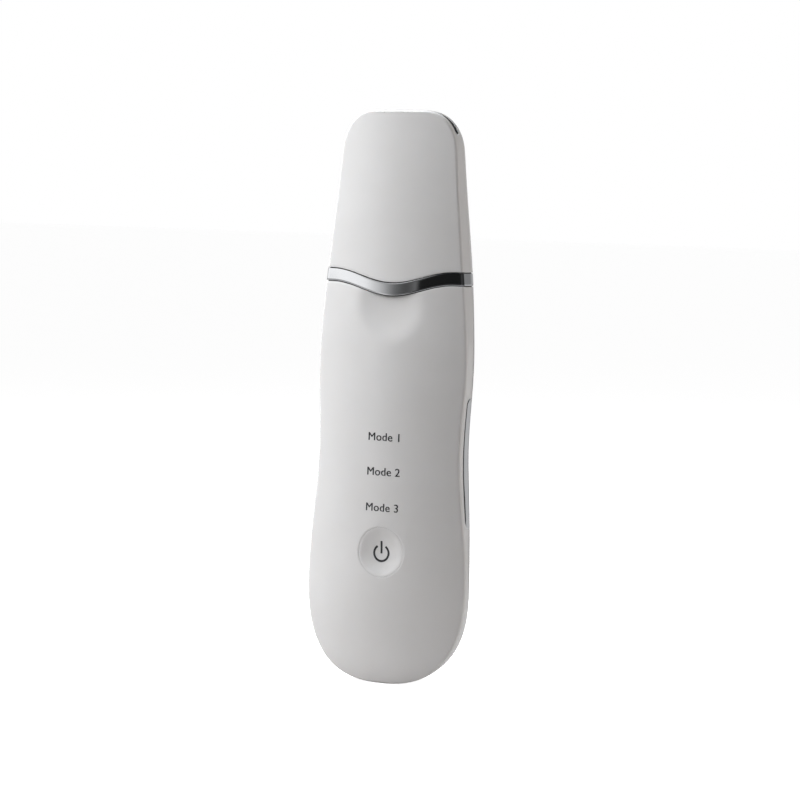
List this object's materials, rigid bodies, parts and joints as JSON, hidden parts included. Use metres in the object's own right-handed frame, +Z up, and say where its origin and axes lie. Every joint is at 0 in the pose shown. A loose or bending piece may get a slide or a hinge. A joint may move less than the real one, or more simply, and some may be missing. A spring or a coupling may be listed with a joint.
{
  "type": "skin scrubber",
  "caption": "Hand-held ultrasonic skin scrubber: waisted glossy clamshell housing, chrome neck band, side electrodes, pull-off cap over a steel spatula blade.",
  "frame": {"origin": "centre of the bounding box in X and Y, at the lowest point of the rounded lower end", "axes": "+Z runs up the length to the capped blade end; the front with the power key faces -Y; +X is to the right seen from the front"},
  "size_m": [0.0506, 0.0182, 0.1649],
  "materials": {
    "white_gloss": "high-gloss moulded",
    "white_inner": "moulded, fine spark texture",
    "chrome": "bright plated",
    "blade_steel": "fine brushed along the length",
    "steel": "turned",
    "zinc": "zinc plated",
    "aluminium": "turned",
    "piezo": "silvered faces, bare rim",
    "copper": "bare",
    "bronze": "satin",
    "silicone": "matt translucent white",
    "grommet_rubber": "matt",
    "board": "solder mask",
    "black_plastic": "moulded",
    "led": "clear lens",
    "ferrite": "sintered",
    "chip": "fired",
    "cell_wrap": "laminated foil",
    "foam": "open-cell",
    "wire_red": "smooth",
    "wire_white": "smooth",
    "winding_tape": "polyimide tape"
  },
  "bodies": {
    "housing": {"battery_cell": "cell_wrap", "battery_foam": "foam", "battery_leads": "wire_red", "blade_seal": "silicone", "board_screws": "zinc", "chip_components": "chip", "chrome_band": "chrome", "contact_springs": "bronze", "controller_chip": "black_plastic", "driver_transistors": "black_plastic", "front_grommet": "grommet_rubber", "front_shell": "white_gloss", "housing_screws": "zinc", "inductor_coil": "copper", "inductor_core": "ferrite", "left_electrode": "chrome", "light_shield": "black_plastic", "main_board": "board", "mode_leds": "led", "neck_collar": "white_inner", "neck_seal": "silicone", "piezo_rings": "piezo", "piezo_terminals": "copper", "rear_grommet": "grommet_rubber", "rear_shell": "white_gloss", "right_electrode": "chrome", "screw_plugs": "white_inner", "socket_shell": "steel", "socket_tongue": "black_plastic", "spatula_blade": "blade_steel", "switch_body": "steel", "transducer_bolt": "steel", "transducer_front_mass": "aluminium", "transducer_leads": "wire_white", "transducer_rear_mass": "steel", "transformer_core": "ferrite", "transformer_winding": "winding_tape"},
    "cap_body": {"cap": "white_gloss"},
    "key": {"power_button": "white_gloss"},
    "switch_stem": {"switch_plunger": "black_plastic"}
  },
  "joints": [
    {"name": "cap_slide", "type": "slide", "parent": "housing", "child": "cap_body", "axis": [0, 0, 1], "range_m": [0, 0.06]},
    {"name": "power_button_press", "type": "slide", "parent": "housing", "child": "key", "axis": [0, 1, 0], "range_m": [0, 0.0003]},
    {"name": "switch_plunger_press", "type": "slide", "parent": "housing", "child": "switch_stem", "axis": [0, 1, 0], "range_m": [0, 0.0003]}
  ],
  "couplings": [
    {"joint": "switch_plunger_press", "follows": "power_button_press", "ratio": 1}
  ]
}
